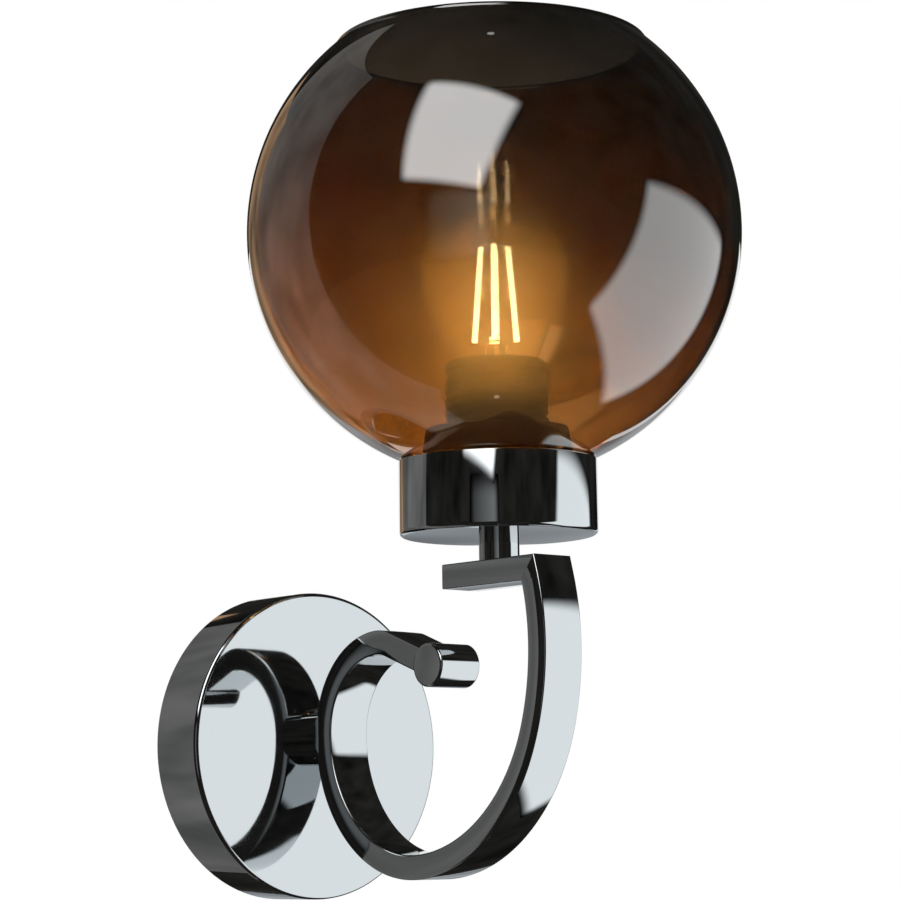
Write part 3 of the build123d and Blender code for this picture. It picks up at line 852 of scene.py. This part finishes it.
# %% Turn the cup and the spacer tube
bore = 5.05 * mm
lathe_on_lamp(
    "holder_cup",
    at_lamp(bore, cup_low.z),
    [
        at_lamp(cup_radius - cup_edge, cup_low.z),
        lamp_arc(cup_radius - cup_edge, cup_low.z + cup_edge, 90, 10),
        at_lamp(cup_radius, cup_high.z - cup_wall / 2),
        lamp_arc(cup_radius - cup_wall / 2, cup_high.z - cup_wall / 2, 180, 8),
        at_lamp(cup_radius - cup_wall, cup_low.z + cup_wall + cup_edge / 2),
        lamp_arc(cup_radius - cup_wall - cup_edge / 2, cup_low.z + cup_wall + cup_edge / 2, -90, 6),
        at_lamp(bore, cup_low.z + cup_wall),
        at_lamp(bore, cup_low.z),
    ],
    chrome,
    "base",
    ["cup"],
)
spacer_radius = (spacer_high.x - spacer_low.x) / 2
lathe_on_lamp(
    "cup_spacer",
    at_lamp(bore, spacer_low.z),
    [
        at_lamp(spacer_radius, spacer_low.z),
        at_lamp(spacer_radius, spacer_high.z),
        at_lamp(bore, spacer_high.z),
        at_lamp(bore, spacer_low.z),
    ],
    chrome,
    "base",
    ["spacer_tube"],
    parts=96,
)

# %% [markdown]
# ## Lampholder
# A fully threaded skirt screws on a plain base. The thread is what the shade ring
# runs on, so it shows all the way up. It is one closed helix: a small section is
# spun many turns while it climbs one pitch a turn, and lies on a plain tube.

# %% Thread helper


def add_thread(bm, section, pitch, turns, parts):
    """Closed helix of a small section, given as (radius, height) points."""
    corners = [bm.verts.new(at_lamp(radius, height)) for radius, height in section]
    rim = [bm.edges.new((corners[place - 1], corners[place])) for place in range(len(corners))]
    run = bmesh.ops.spin(
        bm,
        geom=corners + rim,
        cent=at_lamp(0, 0),
        axis=UPRIGHT,
        dvec=(0, 0, pitch / parts),
        angle=math.tau * turns,
        steps=parts * turns,
    )
    last = [item for item in run["geom_last"] if isinstance(item, bmesh.types.BMEdge)]
    bmesh.ops.contextual_create(bm, geom=rim)
    bmesh.ops.contextual_create(bm, geom=last)


# %% Turn the threaded skirt
skirt_pitch = 3.3 * mm
thread_depth = 1.0 * mm
skirt_root = skirt_radius - thread_depth


def make_skirt():
    """Tube with a chamfered top and an outer thread."""
    bm = bmesh.new()
    chamfer = 1.6 * mm
    steps = [
        at_lamp(skirt_root, skirt_low.z),
        at_lamp(skirt_root, skirt_high.z - 4 * mm),
        at_lamp(skirt_radius - 0.1 * mm, skirt_high.z - 3.6 * mm),
        at_lamp(skirt_radius - 0.1 * mm, skirt_high.z - chamfer),
        at_lamp(skirt_radius - chamfer, skirt_high.z),
        at_lamp(skirt_bore, skirt_high.z),
        at_lamp(skirt_bore, skirt_low.z),
    ]
    draw_outline(bm, at_lamp(skirt_bore, skirt_low.z), steps)
    turn_outline(bm, at_lamp(0, 0), UPRIGHT, 96)
    foot = skirt_low.z + 1 * mm
    section = [
        (skirt_root - 0.1 * mm, foot),
        (skirt_radius, foot + skirt_pitch * 0.28),
        (skirt_radius, foot + skirt_pitch * 0.52),
        (skirt_root - 0.1 * mm, foot + skirt_pitch * 0.8),
    ]
    turns = int((skirt_high.z - skirt_low.z - 7 * mm) / skirt_pitch)
    add_thread(bm, section, skirt_pitch, turns, 72)
    bmesh.ops.recalc_face_normals(bm, faces=bm.faces)
    return finish_piece(
        "threaded_skirt", bm, dark_thermoset, "base", ["holder_skirt"], 20
    )


make_skirt()

# %% Turn the lampholder's base
base_low, base_high = size_of("holder_base")
base_radius = (base_high.x - base_low.x) / 2
base_foot = 14.0 * mm
lathe_on_lamp(
    "holder_shell",
    at_lamp(bore, base_low.z),
    [
        at_lamp(base_foot, base_low.z),
        lamp_arc(base_foot, base_low.z + base_radius - base_foot, 90, 10),
        at_lamp(base_radius, base_high.z),
        at_lamp(skirt_bore, base_high.z),
        at_lamp(skirt_bore, base_high.z - 6 * mm),
        at_lamp(bore, base_high.z - 6 * mm),
        at_lamp(bore, base_low.z),
    ],
    dark_thermoset,
    "base",
    ["holder_base"],
    parts=96,
)

# %% [markdown]
# ## Shade ring
# A conical flange with a threaded collar. It presses a gasket on the glass from
# inside. Its top outer corner is rounded, as moulded parts are.

# %% Turn the shade ring
ring_foot = (ring_high.x - ring_low.x) / 2
ring_top = 28.6 * mm
ring_round = 0.8 * mm
lathe_on_lamp(
    "threaded_ring",
    at_lamp(ring_bore, ring_low.z),
    [
        at_lamp(ring_bore, ring_high.z),
        at_lamp(ring_top - ring_round, ring_high.z),
        lamp_arc(ring_top - ring_round, ring_high.z - ring_round, -80, 8),
        at_lamp(ring_foot, ring_low.z),
        at_lamp(ring_foot - ring_wall, ring_low.z),
        at_lamp(ring_top - ring_wall, ring_high.z - ring_wall),
        at_lamp(ring_bore + ring_wall, ring_high.z - ring_wall),
        at_lamp(ring_bore + ring_wall, ring_low.z),
        at_lamp(ring_bore, ring_low.z),
    ],
    dark_thermoset,
    "ring",
    ["shade_ring"],
)

# %% [markdown]
# ## Glass globe
# Blown in a mould, with the top cracked off and melted smooth into a short upright
# lip. The outline goes up the outer arc, over the lip's half circle and down the
# inner arc, so the wall has its real thickness everywhere, and light bends in it as
# it should.

# %% Turn the globe
mouth_bore = mouth_radius - glass_wall
globe_bore = globe_radius - glass_wall
globe_middle = globe_low.z + math.sqrt(globe_radius**2 - fitter_radius**2)


def arc_angle(radius, distance):
    """Angle above the level at which a circle stands some distance from its axis."""
    return math.degrees(math.acos(distance / radius))


outer_sweep = arc_angle(globe_radius, fitter_radius) + arc_angle(globe_radius, mouth_radius)
inner_sweep = arc_angle(globe_bore, fitter_radius) + arc_angle(globe_bore, mouth_bore)
inner_mouth = globe_middle + math.sqrt(globe_bore**2 - mouth_bore**2)
lip_middle = globe_high.z - glass_wall / 2
globe_piece = lathe_on_lamp(
    "smoked_globe",
    at_lamp(fitter_radius, globe_low.z),
    [
        lamp_arc(0, globe_middle, outer_sweep, 110),
        at_lamp(mouth_radius, lip_middle),
        lamp_arc(mouth_radius - glass_wall / 2, lip_middle, 180, 12),
        at_lamp(mouth_bore, inner_mouth),
        lamp_arc(0, globe_middle, -inner_sweep, 110),
        at_lamp(fitter_radius, globe_low.z),
    ],
    smoked_glass,
    "globe",
    ["glass_globe"],
    sharp=60,
    parts=200,
)
globe_piece.data.materials.append(smoked_glass_inside)
for face in globe_piece.data.polygons:
    inward = Vector(at_lamp(0, globe_middle)) - face.center
    face.material_index = int(inward.dot(face.normal) > 0)
print("globe middle", globe_middle)

# %% [markdown]
# ## Bulb
# The envelope is a ball that flows into a wide neck and narrows to the cap. The flow
# is one smooth curve that leaves the ball along its own slope and ends upright. The
# inner face is the same outline one wall further in.

# %% Turn the bulb's glass
bulb_middle = bulb_high.z - bulb_radius
shoulder = math.radians(30)
cap_neck = cap_radius - 0.45 * mm


def smooth_run(first, second, leave, arrive, parts=12):
    """Points of a curve between two (radius, height) points with given end slopes."""
    points = []
    reach = (Vector(second) - Vector(first)).length
    for step in range(1, parts + 1):
        t = step / parts
        blend = (
            Vector(first) * (2 * t**3 - 3 * t**2 + 1)
            + Vector(leave) * reach * (t**3 - 2 * t**2 + t)
            + Vector(second) * (3 * t**2 - 2 * t**3)
            + Vector(arrive) * reach * (t**3 - t**2)
        )
        points.append(at_lamp(blend.x, blend.y))
    return points


def bulb_flow(inset):
    """Neck points from the cap up to the ball, and where the ball starts."""
    ball = bulb_radius - inset
    foot = (cap_neck - inset, cap_high.z)
    neck = (bulb_neck_radius - inset, cap_high.z + bulb_neck_rise - cap_height)
    side = (ball * math.cos(shoulder), bulb_middle - ball * math.sin(shoulder))
    lean = (Vector(side) - Vector(foot)).normalized()
    slope = (math.sin(shoulder), math.cos(shoulder))
    return [at_lamp(*foot)] + smooth_run(foot, neck, (0, 1), lean) + smooth_run(
        neck, side, lean, slope
    )


def make_envelope():
    """Closed thin shell of the bulb's glass."""
    bm = bmesh.new()
    sweep = 90 + math.degrees(shoulder)
    outer, inner = bulb_flow(0), bulb_flow(bulb_glass)
    rim = bulb_low.z
    steps = outer + [lamp_arc(0, bulb_middle, sweep, 60)]
    steps += [at_lamp(0, bulb_middle + bulb_radius - bulb_glass)]
    steps += [lamp_arc(0, bulb_middle, -sweep, 60)] + inner[-2::-1]
    steps += [at_lamp(cap_neck - bulb_glass, rim), at_lamp(cap_neck, rim)]
    draw_outline(bm, at_lamp(cap_neck, rim), steps)
    turn_outline(bm, at_lamp(0, 0), UPRIGHT, 120)
    return finish_piece(
        "bulb_glass", bm, bulb_glass_material, "bulb", ["bulb_envelope"], 60
    )


make_envelope()

# %% [markdown]
# The cap is a thin nickel shell rolled to a round thread. The stem is the glass post
# inside, flared where it is fused to the envelope and rounded where it was pinched.

# %% Turn the cap and the stem
cap_pitch = 3.63 * mm
cap_root = cap_radius - 0.9 * mm


def make_cap():
    """Thin cap with a round rolled thread."""
    bm = bmesh.new()
    inner = cap_root - 0.3 * mm
    floor_radius = 10.1 * mm
    steps = [
        at_lamp(cap_root, cap_low.z + 2 * mm),
        at_lamp(cap_root, cap_high.z),
        at_lamp(inner, cap_high.z),
        at_lamp(inner, cap_low.z + 2.2 * mm),
        at_lamp(floor_radius, cap_low.z + 0.4 * mm),
        at_lamp(floor_radius, cap_low.z),
    ]
    draw_outline(bm, at_lamp(floor_radius, cap_low.z), steps)
    turn_outline(bm, at_lamp(0, 0), UPRIGHT, 96)
    foot = cap_low.z + 1.5 * mm
    section = [
        (cap_root - 0.1 * mm, foot),
        (cap_root + 0.55 * mm, foot + 0.45 * mm),
        (cap_radius, foot + 1.2 * mm),
        (cap_root + 0.55 * mm, foot + 1.95 * mm),
        (cap_root - 0.1 * mm, foot + 2.4 * mm),
    ]
    add_thread(bm, section, cap_pitch, 4, 72)
    bmesh.ops.recalc_face_normals(bm, faces=bm.faces)
    return finish_piece("rolled_cap", bm, rolled_nickel, "bulb", ["bulb_cap"], 40)


make_cap()
stem_foot_radius = (stem_high.x - stem_low.x) / 2
stem_radius = stem_foot_radius / 2
lathe_on_lamp(
    "glass_stem",
    at_lamp(0, stem_low.z),
    [
        at_lamp(stem_foot_radius, stem_low.z),
        at_lamp(stem_foot_radius, cap_high.z),
        at_lamp(stem_radius * 1.25, cap_high.z + 7 * mm),
        at_lamp(stem_radius, cap_high.z + 14 * mm),
        at_lamp(stem_radius, stem_high.z - stem_radius / 2),
        lamp_arc(stem_radius / 2, stem_high.z - stem_radius / 2, 90, 8),
        at_lamp(0, stem_high.z),
    ],
    stem_glass_material,
    "bulb",
    ["bulb_stem"],
    sharp=60,
    parts=64,
)

# %% [markdown]
# ## Studio
# Chrome has no look of its own: it shows the room. So the room is a dark studio with
# a grey and a warm wall on the left, a bench behind and three softboxes: a big one on
# the right, one above and left of the camera, and a dim one in front. They were placed
# until the reflections agreed with the photo. The camera never sees them.
# Straight behind the light the room is open to the white.

# %% Camera at the photo's angle
view_turn = math.radians(41.10)
view_tilt = math.radians(7.74)
view_roll = math.radians(-0.81)
photo_pixels = 900
focal_pixels = 2853.9
sensor = 36.0
camera_place = Vector((-760.3, -986.0, -39.9)) * mm
ahead = Vector(
    (
        math.sin(view_turn) * math.cos(view_tilt),
        math.cos(view_turn) * math.cos(view_tilt),
        math.sin(view_tilt),
    )
)
level = Vector((math.cos(view_turn), -math.sin(view_turn), 0))
up = level.cross(ahead)
right = level * math.cos(view_roll) + up * math.sin(view_roll)
top = up * math.cos(view_roll) - level * math.sin(view_roll)
camera_data = bpy.data.cameras.new("photo_camera")
camera_data.sensor_width = sensor
camera_data.lens = focal_pixels / photo_pixels * sensor
camera_data.clip_end = 50
camera = bpy.data.objects.new("photo_camera", camera_data)
place = Matrix((right, top, -ahead)).transposed().to_4x4()
place.translation = camera_place
camera.matrix_world = place
bpy.context.scene.collection.objects.link(camera)
bpy.context.scene.camera = camera

# %% Studio walls
studio_middle = Vector((0, lamp_y, 0.1))
camera_side = math.degrees(math.atan2(-math.cos(view_turn), -math.sin(view_turn)))


def set_stage(name, mesh, material, mirrors_only):
    """Studio piece that only shows in glass and chrome."""
    mesh.materials.append(material)
    panel = bpy.data.objects.new(name, mesh)
    bpy.context.scene.collection.objects.link(panel)
    panel.visible_camera = False
    panel.visible_shadow = False
    panel.visible_diffuse = not mirrors_only
    return panel


def studio_wall(name, turn, lift, distance, material):
    """Patch of a sphere round the light, by its range of turn and of lift in degrees.

    The turn is counted from the camera's side towards the camera's right.
    """
    bm = bmesh.new()
    first = math.radians(camera_side + turn[0])
    flat = Vector((math.cos(first), math.sin(first), 0))
    rise = math.radians(lift[0])
    start = studio_middle + (flat * math.cos(rise) + Vector((0, 0, math.sin(rise)))) * distance
    tilt_axis = flat.cross(Vector((0, 0, 1)))
    steps = [(tuple(studio_middle), tuple(tilt_axis), lift[1] - lift[0], 16)]
    draw_outline(bm, tuple(start), steps)
    bmesh.ops.spin(
        bm,
        geom=bm.verts[:] + bm.edges[:],
        cent=tuple(studio_middle),
        axis=UPRIGHT,
        angle=math.radians(turn[1] - turn[0]),
        steps=48,
    )
    mesh = bpy.data.meshes.new(name)
    bm.to_mesh(mesh)
    bm.free()
    return set_stage(name, mesh, material, True)


def wall_paint(name, dark, bright, patch):
    """Glow that wanders between two colours in patches some metres wide, like an unlit room."""
    material, tree, place = new_material(name)
    cloud = spread(tree, speckle(tree, place, patch, 2.0), 0.0, 1.0)
    tone = add_node(
        tree,
        "ShaderNodeMix",
        {"Factor": cloud, 6: (*dark, 1.0), 7: (*bright, 1.0)},
        data_type="RGBA",
    )
    glow = add_node(tree, "ShaderNodeEmission", {"Color": tone.outputs[2], "Strength": 1.0})
    show_surface(tree, glow.outputs["Emission"])
    return material


dark_room = wall_paint("dark_room", (0.008, 0.008, 0.007), (0.03, 0.028, 0.025), 0.7)
studio_wall("studio_room", (-157, 157), (-89, 89), 3.2, dark_room)
studio_wall("studio_room_low", (157, 203), (-89, -24), 3.2, dark_room)
studio_wall("studio_room_high", (157, 203), (42, 89), 3.2, dark_room)
studio_wall("studio_room_behind", (157, 203), (12, 42), 3.2, dark_room).visible_transmission = False
side_wall = wall_paint("side_wall", (0.09, 0.09, 0.088), (0.24, 0.235, 0.225), 0.9)
studio_wall("studio_side_wall", (-150, -92), (-70, 55), 3.0, side_wall)
lit_wall = wall_paint("lit_wall", (0.12, 0.09, 0.06), (0.55, 0.34, 0.20), 0.5)
studio_wall("studio_lit_wall", (-160, -140), (-20, 30), 2.9, lit_wall)
bench_top = wall_paint("bench_top", (0.12, 0.13, 0.14), (0.48, 0.51, 0.54), 0.8)
studio_wall("studio_bench", (160, 203), (-24, -2), 3.1, bench_top).visible_transmission = False

# %% [markdown]
# A softbox is a flat cloth window, brighter in the middle and soft towards its frame.
# Its border fades over the panel's own Object coordinates.

# %% Softboxes


def times(tree, first, second):
    """Product of two values."""
    node = add_node(tree, "ShaderNodeMath", {0: first, 1: second}, operation="MULTIPLY")
    return node.outputs["Value"]


def softbox(name, turn, lift, size, roll, colour, strength, border, slope=0.0, distance=2.2):
    """Flat window of light that faces the sconce.

    Size and border are for a panel one metre away. Slope dims the panel's left side.
    """
    around = math.radians(camera_side + turn)
    rise = math.radians(lift)
    outward = Vector(
        (math.cos(around) * math.cos(rise), math.sin(around) * math.cos(rise), math.sin(rise))
    )
    across = Vector((0, 0, 1)).cross(outward).normalized()
    upward = outward.cross(across)
    width, height = size[0] * distance, size[1] * distance
    bm = bmesh.new()
    grid = bmesh.ops.create_grid(bm, x_segments=1, y_segments=1, size=0.5)
    bmesh.ops.scale(bm, vec=(width, height, 1), verts=grid["verts"])
    mesh = bpy.data.meshes.new(name)
    bm.to_mesh(mesh)
    bm.free()
    material, tree, place = new_material(name)
    axes = add_node(tree, "ShaderNodeSeparateXYZ", {"Vector": place})
    level = None
    for axis, reach in (("X", width / 2), ("Y", height / 2)):
        off = add_node(tree, "ShaderNodeMath", {0: axes.outputs[axis]}, operation="ABSOLUTE")
        fade = add_node(
            tree,
            "ShaderNodeMapRange",
            {
                "Value": off.outputs["Value"],
                "From Min": reach,
                "From Max": reach - border * distance,
                "To Max": strength if level is None else 1.0,
            },
            interpolation_type="SMOOTHSTEP",
        ).outputs["Result"]
        level = fade if level is None else times(tree, level, fade)
    tilt = add_node(
        tree,
        "ShaderNodeMapRange",
        {
            "Value": axes.outputs["X"],
            "From Min": -width / 2,
            "From Max": width / 2,
            "To Min": 1 - slope,
        },
    )
    level = times(tree, level, tilt.outputs["Result"])
    glow = add_node(tree, "ShaderNodeEmission", {"Color": (*colour, 1.0), "Strength": level})
    show_surface(tree, glow.outputs["Emission"])
    panel = set_stage(name, mesh, material, False)
    facing = Matrix((across, upward, outward)).transposed().to_4x4()
    facing.translation = studio_middle + outward * distance
    panel.matrix_world = facing @ Matrix.Rotation(math.radians(roll), 4, "Z")
    return panel

softbox("studio_right_softbox", 94, -18, (1.3, 1.34), -11, (0.97, 1.0, 1.01), 1.28, 0.13)
softbox(
    "studio_upper_softbox", -19, 37, (0.74, 0.88), -12, (1.0, 1.0, 1.0), 2.6, 0.1, distance=1.2
)
softbox(
    "studio_front_softbox", -17, -4, (0.6, 0.62), 0, (0.98, 1.0, 1.0), 0.3, 0.12, slope=0.9
)

# %% Floor and surroundings
floor_drop = -0.8


def make_floor():
    """Wide pale floor, far below a light that hangs on a wall."""
    bm = bmesh.new()
    bmesh.ops.create_grid(bm, x_segments=1, y_segments=1, size=6)
    bmesh.ops.translate(bm, verts=bm.verts, vec=(0, 0, floor_drop))
    mesh = bpy.data.meshes.new("studio_floor")
    bm.to_mesh(mesh)
    bm.free()
    material, tree, place = new_material("pale_floor")
    scuffs = spread(tree, speckle(tree, place, 0.2), 0.8, 0.9)
    shader = add_node(
        tree,
        "ShaderNodeBsdfPrincipled",
        {"Base Color": linear("#f4f4f2"), "Roughness": scuffs},
    )
    show_surface(tree, shader.outputs["BSDF"])
    mesh.materials.append(material)
    floor = bpy.data.objects.new("studio_floor", mesh)
    bpy.context.scene.collection.objects.link(floor)
    floor.visible_glossy = False


make_floor()

world = bpy.data.worlds.new("white_studio")
world.use_nodes = True
world.node_tree.nodes.clear()
rays = add_node(world.node_tree, "ShaderNodeLightPath")
seen = add_node(
    world.node_tree,
    "ShaderNodeMath",
    {0: rays.outputs["Is Camera Ray"], 1: rays.outputs["Is Glossy Ray"]},
    operation="MAXIMUM",
)
seen = add_node(
    world.node_tree,
    "ShaderNodeMath",
    {0: seen.outputs["Value"], 1: rays.outputs["Is Transmission Ray"]},
    operation="MAXIMUM",
)
strength = add_node(
    world.node_tree,
    "ShaderNodeMapRange",
    {"Value": seen.outputs["Value"], "To Min": 0.35, "To Max": 1.0},
)
sky = add_node(
    world.node_tree,
    "ShaderNodeBackground",
    {"Color": (1, 1, 1, 1), "Strength": strength.outputs["Result"]},
)
add_node(world.node_tree, "ShaderNodeOutputWorld", {"Surface": sky.outputs["Background"]})
bpy.context.scene.world = world
bpy.context.scene.view_settings.view_transform = "Standard"
